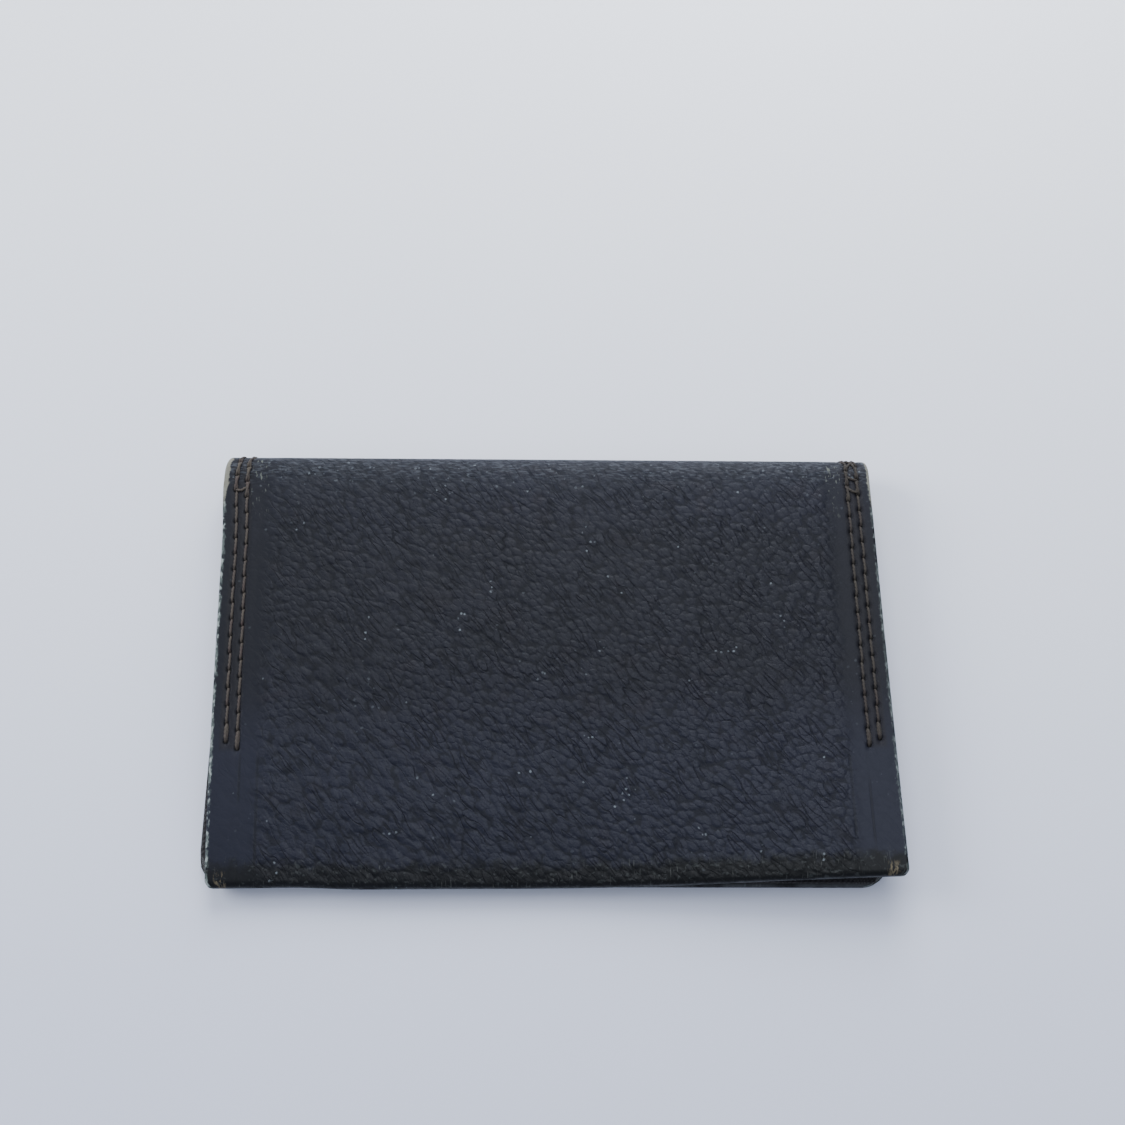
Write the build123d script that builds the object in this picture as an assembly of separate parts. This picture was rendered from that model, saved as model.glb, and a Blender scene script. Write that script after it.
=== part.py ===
from build123d import *
import math
import os

# A bifold card holder, closed and lying on its rear cover. Millimetres.
# +X runs along the spine, +Y from the opening edge to the spine, +Z up.
# The origin is the middle of the footprint, on the surface the holder lies on.
#
# One sheet of outer leather wraps the rear, the spine and the front. Inside it lie
# a lining and a sheet of pocket leather, and four rows of lock stitch hold the stack
# together along the sides. Each sheet is cut into a rear, a spine and a front length,
# so that the fold can be two hinges on the outer face of the bend.

# --- driving dimensions -------------------------------------------------------
WIDTH = 105.0             # along the spine
DEPTH = 71.0              # opening edge to spine
THICKNESS = 8.0           # closed, over both covers

COVER_LEATHER = 1.3       # outer sheet
TURNED_LEATHER = 0.6      # outer sheet where it is skived and turned in
LINING = 0.3              # cloth behind the outer sheet
POCKET_LEATHER = 0.9      # inner sheet

MOUTH_TO_EDGE = 20.7      # pocket mouth back from the opening edge
TURN_IN_END = 20.0        # reach of the turned-in leather from the opening edge
POCKET_GAP = 1.1          # room for cards under the pocket leather
POCKET_WIDTH = 94.0       # between the sewn sides, for a 91 mm card
POCKET_END_TO_BEND = 2.5  # closed end of the pocket, short of the bend
GUSSET_RUN = 2.2          # how far the pocket leather takes to rise over the gap

NEAR_CORNER_REAR = 4.5    # plan radii of the corners
NEAR_CORNER_FRONT = 1.2
SPINE_CORNER = 1.5
LAYER_INSET = 0.3         # each inner sheet stops this far inside the one over it

STITCH_PITCH = 2.795      # along the outer face
STITCHES_PER_SIDE = 18    # whole stitches from the spine to the end of a row
ROW_FROM_EDGE = {"outer": 2.1, "inner": 3.75}
THREAD_WIDTH = 0.6
THREAD_HEIGHT = 0.35
THREAD_SINK = 0.05        # the thread lies this far below the leather's face
HOLE_LENGTH = 0.5         # thread through a hole, along the row
HOLE_CLEARANCE = 0.05

HINGE_ANGLE = 45.0        # the bend is cut this far above and below its middle
CUT_CLEARANCE = 1.5       # degrees that each cut face stands back from the hinge

# --- what follows from them ---------------------------------------------------
HALF_WIDTH = WIDTH / 2
NEAR_Y = -DEPTH / 2
BEND_RADIUS = THICKNESS / 2
BEND_Y = DEPTH / 2 - BEND_RADIUS
BEND_Z = BEND_RADIUS
STACK = COVER_LEATHER + LINING + POCKET_LEATHER
MOUTH_Y = NEAR_Y + MOUTH_TO_EDGE
TURN_END_Y = NEAR_Y + TURN_IN_END
QUARTER_BEND = BEND_RADIUS * math.pi / 2
MIDDLE_PLANE = Plane.XY.offset(BEND_Z)


def at_bend(radius, angle):
    """A point of the section, by its radius and angle about the bend's centre."""
    turn = math.radians(angle)
    return (BEND_Y + radius * math.cos(turn), BEND_Z + radius * math.sin(turn))


def hole_place(index):
    """The (y, z, angle) of a stitch hole on the outer face, counted from the spine."""
    run = (index + 0.5) * STITCH_PITCH
    if run < QUARTER_BEND:
        angle = -90.0 * run / QUARTER_BEND
        y, z = at_bend(BEND_RADIUS, angle)
        return (y, z, angle)
    return (BEND_Y - (run - QUARTER_BEND), 0.0, -90.0)


ROW_END_Y = hole_place(STITCHES_PER_SIDE)[0]


# --- sections, drawn with y across and z up --------------------------------------
def cover_layer(outer, inner, near_y):
    """A flat sheet between two depths below the outer face, with its share of the bend."""
    cut = -HINGE_ANGLE - CUT_CLEARANCE
    middle = (cut - 90.0) / 2
    r_out = BEND_RADIUS - outer
    r_in = BEND_RADIUS - inner
    edge = Polyline(at_bend(r_in, -90), (near_y, inner), (near_y, outer), at_bend(r_out, -90))
    edge += ThreePointArc(at_bend(r_out, -90), at_bend(r_out, middle), at_bend(r_out, cut))
    edge += Line(at_bend(r_out, cut), at_bend(r_in, cut))
    edge += ThreePointArc(at_bend(r_in, cut), at_bend(r_in, middle), at_bend(r_in, -90))
    return make_face(edge)


def spine_layer(outer, inner):
    """The middle of the bend between two depths below the outer face."""
    cut = HINGE_ANGLE - CUT_CLEARANCE
    r_out = BEND_RADIUS - outer
    r_in = BEND_RADIUS - inner
    edge = ThreePointArc(at_bend(r_out, -cut), at_bend(r_out, 0), at_bend(r_out, cut))
    edge += Line(at_bend(r_out, cut), at_bend(r_in, cut))
    edge += ThreePointArc(at_bend(r_in, cut), at_bend(r_in, 0), at_bend(r_in, -cut))
    edge += Line(at_bend(r_in, -cut), at_bend(r_out, -cut))
    return make_face(edge)


def turned_edge():
    """The opening edge of the front cover: the sheet rolled over and laid back inside."""
    turned = COVER_LEATHER + TURNED_LEATHER
    roll = turned / 2
    edge = ThreePointArc((NEAR_Y + roll, turned), (NEAR_Y, roll), (NEAR_Y + roll, 0))
    edge += Polyline((NEAR_Y + roll, 0), (TURN_END_Y, 0), (TURN_END_Y, turned), (NEAR_Y + roll, turned))
    return make_face(edge)


def hole_bar(index, outer, inner, half_length):
    """One leg of thread through the stack, square to the sheets."""
    y, z, angle = hole_place(index)
    bar = Rectangle(inner - outer, 2 * half_length)
    return Location((y, z), angle) * Location((-(outer + inner) / 2, 0)) * bar


def stitch_section(part, cutting):
    """A row of lock stitch from the side: an outer run, an inner run and the legs between.

    For cutting, the runs reach out past the faces and the legs have their clearance.
    """
    face = -THREAD_HEIGHT if cutting else THREAD_SINK
    floor = THREAD_SINK + THREAD_HEIGHT
    half_length = HOLE_LENGTH / 2 + (HOLE_CLEARANCE if cutting else 0)
    if part == "spine":
        runs = [spine_layer(face, floor), spine_layer(STACK - floor, STACK - face)]
        legs = [hole_bar(0, THREAD_HEIGHT / 2, STACK - THREAD_HEIGHT / 2, half_length)]
        legs.append(mirror(legs[0], about=Plane.XZ.offset(-BEND_Z)))
    else:
        end = ROW_END_Y - half_length
        runs = [cover_layer(face, floor, end), cover_layer(STACK - floor, STACK - face, end)]
        legs = [
            hole_bar(index, THREAD_HEIGHT / 2, STACK - THREAD_HEIGHT / 2, half_length)
            for index in range(1, STITCHES_PER_SIDE + 1)
        ]
    section = runs[0] + runs[1]
    for leg in legs:
        section += leg
    return section


# --- solids -----------------------------------------------------------------------
def across(section, half_width, x=0.0):
    """A section run the same way to both sides of x."""
    return Pos(x, 0, 0) * extrude(Plane.YZ * section, amount=half_width, both=True)


def plan_prism(near_corner, inset):
    """The outline of a cover seen from above, as a prism through the whole thickness."""
    half_x = HALF_WIDTH - inset
    near = NEAR_Y + inset
    far = DEPTH / 2
    outline = Polyline((half_x, near), (half_x, far), (-half_x, far), (-half_x, near), (half_x, near))
    plate = make_face(outline)
    corners = plate.vertices().group_by(Axis.Y)
    plate = fillet(corners[-1], SPINE_CORNER)
    plate = fillet(plate.vertices().group_by(Axis.Y)[0], near_corner)
    return extrude(plate, amount=THICKNESS)


def row_x(side, row):
    """Where a row of stitches runs along the width."""
    sign = {"left": -1, "right": 1}[side]
    return sign * (HALF_WIDTH - ROW_FROM_EDGE[row])


def stitch_rows(part, cutting):
    """All four rows of one part, by name."""
    half_width = THREAD_WIDTH / 2 + (HOLE_CLEARANCE if cutting else 0)
    section = stitch_section(part, cutting)
    return {
        f"{side}_{row}": across(section, half_width, row_x(side, row))
        for side in ("left", "right")
        for row in ("outer", "inner")
    }


def punched(sheet, cutters):
    """A sheet with the stitch grooves and holes taken out of it."""
    for cutter in cutters:
        sheet -= cutter
    return sheet


def frustum(base, rise, half_width, end_y):
    """A low flat-topped mound, open at the pocket mouth and sloped on its other sides."""
    run = GUSSET_RUN * rise / POCKET_GAP
    top = base + rise
    across_x = Polyline(
        (-half_width, base), (half_width, base), (half_width - run, top), (run - half_width, top),
        (-half_width, base),
    )
    along_y = Polyline((MOUTH_Y, base), (end_y, base), (end_y - run, top), (MOUTH_Y, top), (MOUTH_Y, base))
    width_prism = extrude(Plane.XZ * make_face(across_x), amount=DEPTH, both=True)
    return width_prism & across(make_face(along_y), HALF_WIDTH)


def pocket_mound(sheet):
    """Pocket leather raised over the room for the cards."""
    base = COVER_LEATHER + LINING
    slope = math.hypot(GUSSET_RUN, POCKET_GAP) / POCKET_GAP
    spread = POCKET_LEATHER * slope
    half_width = POCKET_WIDTH / 2
    end_y = BEND_Y - POCKET_END_TO_BEND
    sheet += frustum(base, POCKET_GAP + POCKET_LEATHER, half_width + spread, end_y + spread)
    return sheet - frustum(base, POCKET_GAP, half_width, end_y)


def build_cover(part):
    """The sheets and stitches of the rear or the front cover, as they lie at the rear."""
    front = part == "front"
    near_corner = NEAR_CORNER_FRONT if front else NEAR_CORNER_REAR
    cutters = list(stitch_rows(part, True).values())
    lining_near = TURN_END_Y + LAYER_INSET if front else NEAR_Y + LAYER_INSET
    inside_cover = COVER_LEATHER + LINING

    section = cover_layer(0, COVER_LEATHER, TURN_END_Y if front else NEAR_Y)
    if front:
        section += turned_edge()
    leather = across(section, HALF_WIDTH) & plan_prism(near_corner, 0)
    lining = across(cover_layer(COVER_LEATHER, inside_cover, lining_near), HALF_WIDTH)
    lining &= plan_prism(near_corner, LAYER_INSET)
    panel = across(cover_layer(inside_cover, STACK, MOUTH_Y), HALF_WIDTH)
    panel &= plan_prism(near_corner, 2 * LAYER_INSET)

    nodes = {
        "cover_leather": punched(leather, cutters),
        "lining": punched(lining, cutters),
        "pocket_panel": punched(pocket_mound(panel), cutters),
    }
    for row, thread in stitch_rows(part, False).items():
        nodes[f"stitches_{row}"] = thread
    if front:
        nodes = {name: mirror(solid, about=MIDDLE_PLANE) for name, solid in nodes.items()}
    return nodes


def build_spine():
    """The sheets and stitches of the bend."""
    cutters = list(stitch_rows("spine", True).values())
    depths = {
        "cover_leather": (0, COVER_LEATHER, 0),
        "lining": (COVER_LEATHER, COVER_LEATHER + LINING, LAYER_INSET),
        "pocket_panel": (COVER_LEATHER + LINING, STACK, 2 * LAYER_INSET),
    }
    nodes = {}
    for name, (outer, inner, inset) in depths.items():
        sheet = across(spine_layer(outer, inner), HALF_WIDTH) & plan_prism(NEAR_CORNER_REAR, inset)
        nodes[name] = punched(sheet, cutters)
    for row, thread in stitch_rows("spine", False).items():
        nodes[f"stitches_{row}"] = thread
    return nodes


def main():
    os.makedirs("parts", exist_ok=True)
    parts = {"rear": build_cover("rear"), "spine": build_spine(), "front": build_cover("front")}
    for part, nodes in parts.items():
        for name, solid in nodes.items():
            export_step(solid, f"parts/{part}_{name}.step")


main()
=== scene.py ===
import math

import bpy
import numpy as np
from mathutils import Matrix, Vector


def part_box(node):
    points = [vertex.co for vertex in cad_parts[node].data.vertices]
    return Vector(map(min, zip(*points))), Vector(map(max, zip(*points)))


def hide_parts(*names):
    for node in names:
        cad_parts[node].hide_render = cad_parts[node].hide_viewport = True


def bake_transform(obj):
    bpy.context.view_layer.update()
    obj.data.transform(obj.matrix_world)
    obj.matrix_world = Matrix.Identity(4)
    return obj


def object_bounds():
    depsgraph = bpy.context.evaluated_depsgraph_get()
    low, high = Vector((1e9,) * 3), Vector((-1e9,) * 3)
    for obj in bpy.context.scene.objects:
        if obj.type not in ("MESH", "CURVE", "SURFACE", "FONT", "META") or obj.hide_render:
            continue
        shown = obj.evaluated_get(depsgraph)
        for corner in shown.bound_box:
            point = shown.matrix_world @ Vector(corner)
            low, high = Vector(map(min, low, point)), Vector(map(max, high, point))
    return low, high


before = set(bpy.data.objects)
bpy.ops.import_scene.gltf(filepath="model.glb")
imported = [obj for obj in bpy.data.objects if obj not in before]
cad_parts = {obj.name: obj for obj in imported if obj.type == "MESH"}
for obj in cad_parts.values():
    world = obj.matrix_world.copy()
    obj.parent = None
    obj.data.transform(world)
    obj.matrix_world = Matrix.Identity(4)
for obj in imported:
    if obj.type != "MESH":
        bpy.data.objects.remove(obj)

# A closed bifold card holder. Lengths in this script are in millimetres in the frame's
# own axes, and meshes are scaled to metres when they are made. Each sheet of the holder
# is drawn as two halves that meet at the middle of the spine. A place on a sheet is
# (x, s): x across, and s along the outer face from the middle of the spine towards the
# opening edge.

MM = 0.001
cad_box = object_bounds()


def box_mm(node):
    low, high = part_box(node)
    return np.array(low) / MM, np.array(high) / MM


# --- sizes read from the frame ---------------------------------------------------------
LOW, HIGH = np.array(cad_box[0]) / MM, np.array(cad_box[1]) / MM
HALF = (HIGH[0] - LOW[0]) / 2
NEAR_Y, FAR_Y = LOW[1], HIGH[1]
MID_Z = (LOW[2] + HIGH[2]) / 2
RADIUS = MID_Z - LOW[2]         # of the spine's bend, on its outer face
BEND_Y = FAR_Y - RADIUS
QUARTER = RADIUS * math.pi / 2  # s where the bend ends and the flat cover begins
SHEET_END = QUARTER + BEND_Y - NEAR_Y

INSET = 0.3                     # each inner sheet stops this far inside the one over it
SKIVED = 0.6                    # thickness of the outer leather where it is turned in
PANEL = 0.9                     # thickness of the pocket leather
COVER = box_mm("rear_lining")[0][2]         # depth of the lining's outer face
LINED = box_mm("rear_pocket_panel")[0][2]   # depth of the pocket leather's outer face
STACK = LINED + PANEL
TURNED = COVER + SKIVED
MOUTH_S = QUARTER + BEND_Y - box_mm("rear_pocket_panel")[0][1]
TURN_S = QUARTER + BEND_Y - (box_mm("front_lining")[0][1] - INSET)


# --- the stitches ------------------------------------------------------------------------
def row_middle(row):
    """How far a row's middle is from the middle of the holder."""
    low, high = box_mm(f"rear_stitches_left_{row}")
    return abs((low[0] + high[0]) / 2)


HANDS = ("left", "right")
ROW_NAMES = ("outer", "inner")
STITCHES = 18                   # whole ones in a row, after the half one at the middle of the spine
HALF_HOLE = 0.25                # the CAD thread reaches this far past its last hole's middle
ROWS = {row: row_middle(row) for row in ROW_NAMES}
ROW_END_S = QUARTER + BEND_Y - box_mm("rear_stitches_left_outer")[0][1] - HALF_HOLE
PITCH = ROW_END_S / (STITCHES + 0.5)
ROW_START = {"outer": 0.0, "inner": 1.1}      # the inner row's holes are further from the spine
ROW_LEAN = {"outer": 0.006, "inner": 0.008}   # the rows close in by this much for each mm
THREAD_HALF_WIDTH = 0.19
THREAD_HALF_HEIGHT = 0.18
HOLE_DIP = 0.62                 # how far a stitch's ends go down into their holes
DOUBLED = 3                     # stitches by the spine that are sewn twice
CROSSINGS = {                   # from s, to s and slack of the threads that cross between the rows
    "left": [(9.6, 9.1, 0.5)],
    "right": [(9.4, 8.6, 0.3), (7.2, 6.6, 0.2), (2.4, 5.0, 0.2), (5.2, 2.2, -0.3)]}
SOILED = 100.0                  # added to the texture's u on the right-hand threads, which are dirtier

# --- how the worn holder lies ------------------------------------------------------------
DROOP_LEFT = 4.2          # the front cover sinks towards the rear one at its near left
DROOP_RIGHT = 0.45        # and springs up at its near right
DROOP_FROM_Y = 28.0
LIFT_FROM_X = -5.0
SIDE_TURN = {"front": 1.05, "rear": -0.25}    # degrees that the covers' sides are skewed
NEAR_TURN = {"front": 1.05, "rear": 0.10}     # and their opening edges
SHORT = {"front": 0.0, "rear": 0.45}          # how far the opening edges have drawn back
SPREAD_FROM_Y = 10.0      # from here to its opening edge the front cover
BOW = 0.36                # is bowed outward, most at BOW_X,
BOW_X = 12.0
BOW_WIDTH = 28.0
PUSHED_BACK = 0.42        # pushed back at its left corner
FLARE = 0.30              # and flared at its right side
PINCH = 0.3               # the sides are drawn in along this much of the spine's corners,
PINCH_LENGTH = 4.0
CORNER_PINCH = 0.5        # and more sharply at their very ends
CORNER_LENGTH = 1.6
BULGE = 0.38              # the left side bulges beyond them
BAND = 7.0                # width of the pressed, sewn sides
PRESSED_LINE = 4.7        # how far in a faint line is pressed beyond the stitches
EDGE_ROUND = 0.45
SQUARE_CORNER = 1.2       # plan radii of the corners at the opening edges
ROUND_CORNER = 4.5


# --- noise fields --------------------------------------------------------------------------
def lattice(ix, iy, seed):
    """A repeatable number from 0 to 1 for each whole-number place."""
    n = ix.astype(np.int64) * 374761393 + iy.astype(np.int64) * 668265263 + seed * 974711
    n = (n ^ (n >> 13)) & 0xFFFFFFFF
    n = (n * 1274126177) & 0xFFFFFFFF
    n = (n ^ (n >> 16)) & 0xFFFFFFFF
    return n / 4294967296.0


def smooth(t):
    t = np.clip(t, 0, 1)
    return t * t * (3 - 2 * t)


def step(low, high, value):
    """0 below low, 1 above high, and smooth between."""
    return smooth((value - low) / (high - low))


def noise(x, y, seed, octaves=1):
    """Soft value noise about 0, within 1."""
    total, size, weight = 0.0, 1.0, 0.0
    for octave in range(octaves):
        ix, iy = np.floor(x), np.floor(y)
        fx, fy = smooth(x - ix), smooth(y - iy)
        a = lattice(ix, iy, seed + octave)
        b = lattice(ix + 1, iy, seed + octave)
        c = lattice(ix, iy + 1, seed + octave)
        d = lattice(ix + 1, iy + 1, seed + octave)
        total = total + size * (2 * (a + (b - a) * fx + (c - a) * fy + (a - b - c + d) * fx * fy) - 1)
        weight += size
        size *= 0.5
        x, y = x * 2.03, y * 2.03
    return total / weight


def cells(x, y, seed):
    """Distance to the nearest and the next cell centre of a scattered grid, and the cell's own number."""
    ix, iy = np.floor(x), np.floor(y)
    first = np.full(x.shape, 9.0)
    second = np.full(x.shape, 9.0)
    own = np.zeros(x.shape)
    for dx in (-1, 0, 1):
        for dy in (-1, 0, 1):
            cx, cy = ix + dx, iy + dy
            px = cx + 0.1 + 0.8 * lattice(cx, cy, seed)
            py = cy + 0.1 + 0.8 * lattice(cx, cy, seed + 7)
            d = np.hypot(px - x, py - y)
            nearer = d < first
            second = np.where(nearer, first, np.minimum(second, d))
            own = np.where(nearer, lattice(cx, cy, seed + 13), own)
            first = np.where(nearer, d, first)
    return first, second, own


def slanted(x, s, degrees):
    """The same place in axes turned by this many degrees."""
    turn = math.radians(degrees)
    return x * math.cos(turn) + s * math.sin(turn), -x * math.sin(turn) + s * math.cos(turn)


def pebble(x, s):
    """Height of the pebbled grain, 0 on the pads and towards -1 in the creases."""
    u, v = slanted(x, s, 32)
    u = u + 0.9 * noise(x * 0.35, s * 0.35, 3, 2)
    v = v + 0.9 * noise(x * 0.35, s * 0.35, 11, 2)
    near_left = step(20, -40, x) * step(45, 66, s) * 0.9
    coarse = step(0.1, 0.6, noise(x * 0.045 + 2.0, s * 0.05, 21) + near_left)
    fine_first, fine_second, fine_own = cells(u / 1.75, v / 1.2, 31)
    big_first, big_second, big_own = cells(u / 2.9, v / 2.3, 47)
    fine = step(0.02, 0.34, fine_second - fine_first)
    big = step(0.02, 0.22, big_second - big_first)
    fine_height = (fine - 1) * (0.55 + 0.45 * fine_own)
    big_height = (big - 1) * (0.5 + 0.5 * big_own)
    strength = 0.65 + 0.35 * noise(x * 0.16, s * 0.16, 61, 2)
    height = (1 - coarse) * fine_height + coarse * (0.95 * big_height + 0.30 * fine_height)
    return height * np.clip(strength, 0.15, 1.0)


def wrinkle(x, s):
    """Long slanting folds under the grain, -1 in the folds and 1 between them."""
    u, v = slanted(x, s, 38)
    return noise(u * 0.14, v * 0.52, 71, 3)


def row_place(row, s):
    """How far a row of stitches is from the middle of the holder at s."""
    return ROWS[row] - ROW_LEAN[row] * s


def side_gap(x):
    """Distance in from the nearer side edge."""
    return HALF - np.abs(x)


def leather_relief(x, s):
    """Height of the outer leather over its plain face, in mm, never above it."""
    pressed = step(BAND + 1.6, BAND - 1.0, side_gap(x))
    spine = step(11, 2, s)
    edge = step(SHEET_END - 4.6, SHEET_END - 3.0, s)
    grain = pebble(x, s) * (1 - 0.97 * pressed) * (1 - 0.45 * spine) * (1 - 0.5 * edge)
    folds = np.minimum(wrinkle(x, s) - 0.15, 0) * (1 - pressed) * (1 - spine)
    height = 0.05 * grain + 0.08 * folds - 0.04 * pressed
    for row in ROW_NAMES:
        gap = np.abs(np.abs(x) - row_place(row, s))
        end = ROW_END_S + ROW_START[row]
        groove = np.exp(-((gap / 0.42) ** 2)) * step(end + 1.3, end + 0.7, s)
        along = np.abs(np.mod((s - ROW_START[row]) / PITCH, 1.0) - 0.5) * PITCH
        hole = np.exp(-((np.hypot(gap, along) / 0.38) ** 2)) * step(end + 0.6, end + 0.3, s)
        height = height - 0.12 * groove - 0.42 * hole
    return height


# --- from (x, s, depth) to a place in the frame ---------------------------------------------
def settle(side, x, y, z):
    """The way the worn covers lie: skewed about the spine, the front one bowed, flared and drooping."""
    x_new = x - (y - BEND_Y) * math.radians(SIDE_TURN[side]) * step(FAR_Y, FAR_Y - 12, y)
    y_new = y + (x * math.radians(NEAR_TURN[side]) + SHORT[side]) * step(5, NEAR_Y, y)
    if side == "front":
        near = np.clip((SPREAD_FROM_Y - y) / (SPREAD_FROM_Y - NEAR_Y), 0, 1.1) ** 2
        x_new = x_new + FLARE * near * step(0, HALF, x)
        bow = BOW * np.exp(-(((x - BOW_X) / BOW_WIDTH) ** 2))
        y_new = y_new - near * (bow - PUSHED_BACK * step(-28, -40, x))
        bend = np.clip((DROOP_FROM_Y - y) / (DROOP_FROM_Y - NEAR_Y), 0, 1) ** 3
        lift = step(LIFT_FROM_X, HALF + 6, x)
        z = z - (DROOP_LEFT + (DROOP_RIGHT - DROOP_LEFT) * lift) * bend
    return x_new, y_new, z


def drawn_in(x, s, near_corner):
    """x after the plan corners are rounded and the spine's corners drawn in."""
    to_edge = np.clip(SHEET_END - s, 0, near_corner)
    corner = near_corner - np.sqrt(np.maximum(near_corner**2 - (near_corner - to_edge) ** 2, 0))
    pinch = PINCH * np.exp(-((s / PINCH_LENGTH) ** 2)) + CORNER_PINCH * np.exp(-((s / CORNER_LENGTH) ** 2))
    corner_share = step(HALF - near_corner - 2.5, HALF, np.abs(x))
    pinch_share = step(HALF - 12, HALF, np.abs(x))
    bulge = BULGE * np.exp(-(((s - 9) / 6) ** 2)) * step(-HALF + 12, -HALF, x)
    return x - np.sign(x) * (corner * corner_share + pinch * pinch_share) - bulge


def place(side, x, s, depth, near_corner=SQUARE_CORNER):
    """The frame position of a point of a sheet, by its place on the outer face and its depth below it."""
    x = drawn_in(x, s, near_corner)
    angle = np.clip(s, 0, QUARTER) / RADIUS
    reach = RADIUS - depth
    y = BEND_Y + reach * np.cos(angle) - np.maximum(s - QUARTER, 0)
    rise = reach * np.sin(angle)
    z = MID_Z + rise if side == "front" else MID_Z - rise
    return np.stack(settle(side, x, y, z), -1)


# --- meshes ---------------------------------------------------------------------------------
FINISHED, OTHER_FACE, CUT_EDGE = 0, 1, 2    # places in a sheet's list of materials


def make_object(name, points, faces, uv, materials, face_material):
    """An object from points in mm, with places in mm for its texture as a UV map."""
    mesh = bpy.data.meshes.new(name)
    mesh.from_pydata((points * MM).tolist(), [], faces)
    layer = mesh.uv_layers.new(name="flat")
    corner = np.zeros(len(mesh.loops), np.int32)
    mesh.loops.foreach_get("vertex_index", corner)
    layer.data.foreach_set("uv", uv[corner].astype(np.float32).ravel())
    for material in materials:
        mesh.materials.append(material)
    mesh.polygons.foreach_set("material_index", np.array(face_material, np.int32))
    mesh.polygons.foreach_set("use_smooth", np.ones(len(faces), bool))
    mesh.update()
    thing = bpy.data.objects.new(name, mesh)
    bpy.context.scene.collection.objects.link(thing)
    return thing


def columns(spacing, side_spacing, half, edge):
    """x of the grid's columns: fine at the sewn sides, and close together over the rounded edge."""
    sewn = half - BAND - 1.0
    middle = np.arange(0, sewn, spacing)
    sides = np.arange(sewn, half - edge, side_spacing)
    rounding = half - edge * (1 - np.sin(np.linspace(0, math.pi / 2, 5)))
    right = np.concatenate([middle, sides, rounding])
    return np.concatenate([-right[:0:-1], right])


def section(near, thick, spacing, edge, shown, turned, turn_s):
    """The closed outline of a sheet's section: the outer samples, then the near end, then the inner ones.

    Each sample has s, depth, its place along the sheet for the texture (run), whether it is on the
    outer side, and whether the finished face is there. shown is the finished face; a turned sheet's
    goes round the end as far as turn_s. The last two are the numbers of outer spans and end samples.
    """
    count = max(8, int(round((near - edge) / spacing / 4)) * 4)
    outer = np.linspace(0, near - edge, count + 1)
    inner = outer[::-4]         # the inner face is flat, so it has a quarter of the samples

    def rounded(t):
        """s, depth and run on the round end, this far round from the outer face."""
        return near - edge + edge * math.sin(t), edge * (1 - math.cos(t)), near - edge + edge * t

    def rounded_below(t):
        """The same for the inner half of a plain cut end."""
        return near - edge + edge * math.cos(t), thick - edge * (1 - math.sin(t)), near + 1

    if turned is None:
        angles = np.linspace(0, math.pi / 2, 5)[1:]
        end = [rounded(t) for t in angles] + [rounded_below(t) for t in angles]
        inner_depth = np.full(len(inner), thick)
    else:
        end = [rounded(t) for t in np.linspace(0, math.pi, 13)[1:-1]]
        inner = np.sort(np.concatenate([inner, [turn_s + 0.01, turn_s - 0.01]]))[::-1]
        inner_depth = np.where(inner > turn_s, turned, thick)
    s = np.concatenate([outer, [e[0] for e in end], inner])
    depth = np.concatenate([np.zeros(count + 1), [e[1] for e in end], inner_depth])
    other_face = near + 2       # where the texture of the face that is not shown begins
    back = other_face + (near - inner)
    first_inner = count + 1 + len(end)
    on_outer = np.arange(len(s)) < first_inner
    if shown == "outer":
        run = np.concatenate([outer, [e[2] for e in end], back])
        finished = on_outer | ((s > turn_s) & (turned is not None))
    else:
        run = np.where(np.arange(len(s)) > count, s, other_face + (near - s))
        finished = np.arange(len(s)) > count
    return s, depth, run, on_outer, finished, count, len(end)


def sheet_half(name, side, top, thick, near, spacing, side_spacing, half, edge, near_corner, materials,
               relief=None, shown="outer", turned=None, turn_s=0.0, rise=None):
    """One half of a sheet as a closed mesh, from the middle of the spine to its near end.

    top is the depth of its outer face; relief gives its outer face's height; rise lifts the whole sheet.
    materials are the finished face, the other one and the cut edge.
    """
    s, depth, run, on_outer, finished, count, ends = section(
        near, thick, spacing, edge, shown, turned, turn_s)
    rim = min(edge, thick / 3)
    xs = columns(spacing, side_spacing, half, rim)
    grid_x, grid_s = np.meshgrid(xs, s, indexing="ij")
    inset = np.clip(half - np.abs(grid_x), 0, rim)
    rounding = rim - np.sqrt(np.maximum(rim**2 - (rim - inset) ** 2, 0))
    grid_depth = top + depth + np.where(on_outer & (depth < thick / 2), rounding, -rounding * 0.7)
    if relief is not None:
        outward = np.where(on_outer & (depth < 0.7), 1.0, 0.0)    # the outer face and the end's upper half
        raised = outward * step(-0.5, 0.7, half - np.abs(grid_x))
        grid_depth = grid_depth - relief(grid_x, np.broadcast_to(run, grid_x.shape)) * raised
    if rise is not None:
        grid_depth = grid_depth + rise(grid_x, grid_s)
    points = place(side, grid_x, grid_s, grid_depth, near_corner).reshape(-1, 3)
    n_x, n_s = grid_x.shape
    uv = np.stack([grid_x, np.broadcast_to(run, grid_x.shape)], -1).reshape(-1, 2)
    index = np.arange(n_x * n_s).reshape(n_x, n_s)
    after = np.roll(index, -1, axis=1)
    quads = np.stack([index[:-1], after[:-1], after[1:], index[1:]], -1)
    if side == "rear":
        quads = quads[..., ::-1]
    kinds = np.where(finished & np.roll(finished, -1), FINISHED, OTHER_FACE)
    kinds[-1] = OTHER_FACE
    faces = quads.reshape(-1, 4).tolist()
    face_material = np.broadcast_to(kinds, (n_x - 1, n_s)).ravel().tolist()
    for column, flip in ((0, side == "front"), (n_x - 1, side == "rear")):
        for face in end_cap(s, count, ends):
            ring = [int(index[column, i]) for i in face]
            faces.append(ring[::-1] if flip else ring)
            face_material.append(CUT_EDGE)
    return make_object(name, points, faces, uv, materials, face_material)


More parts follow.
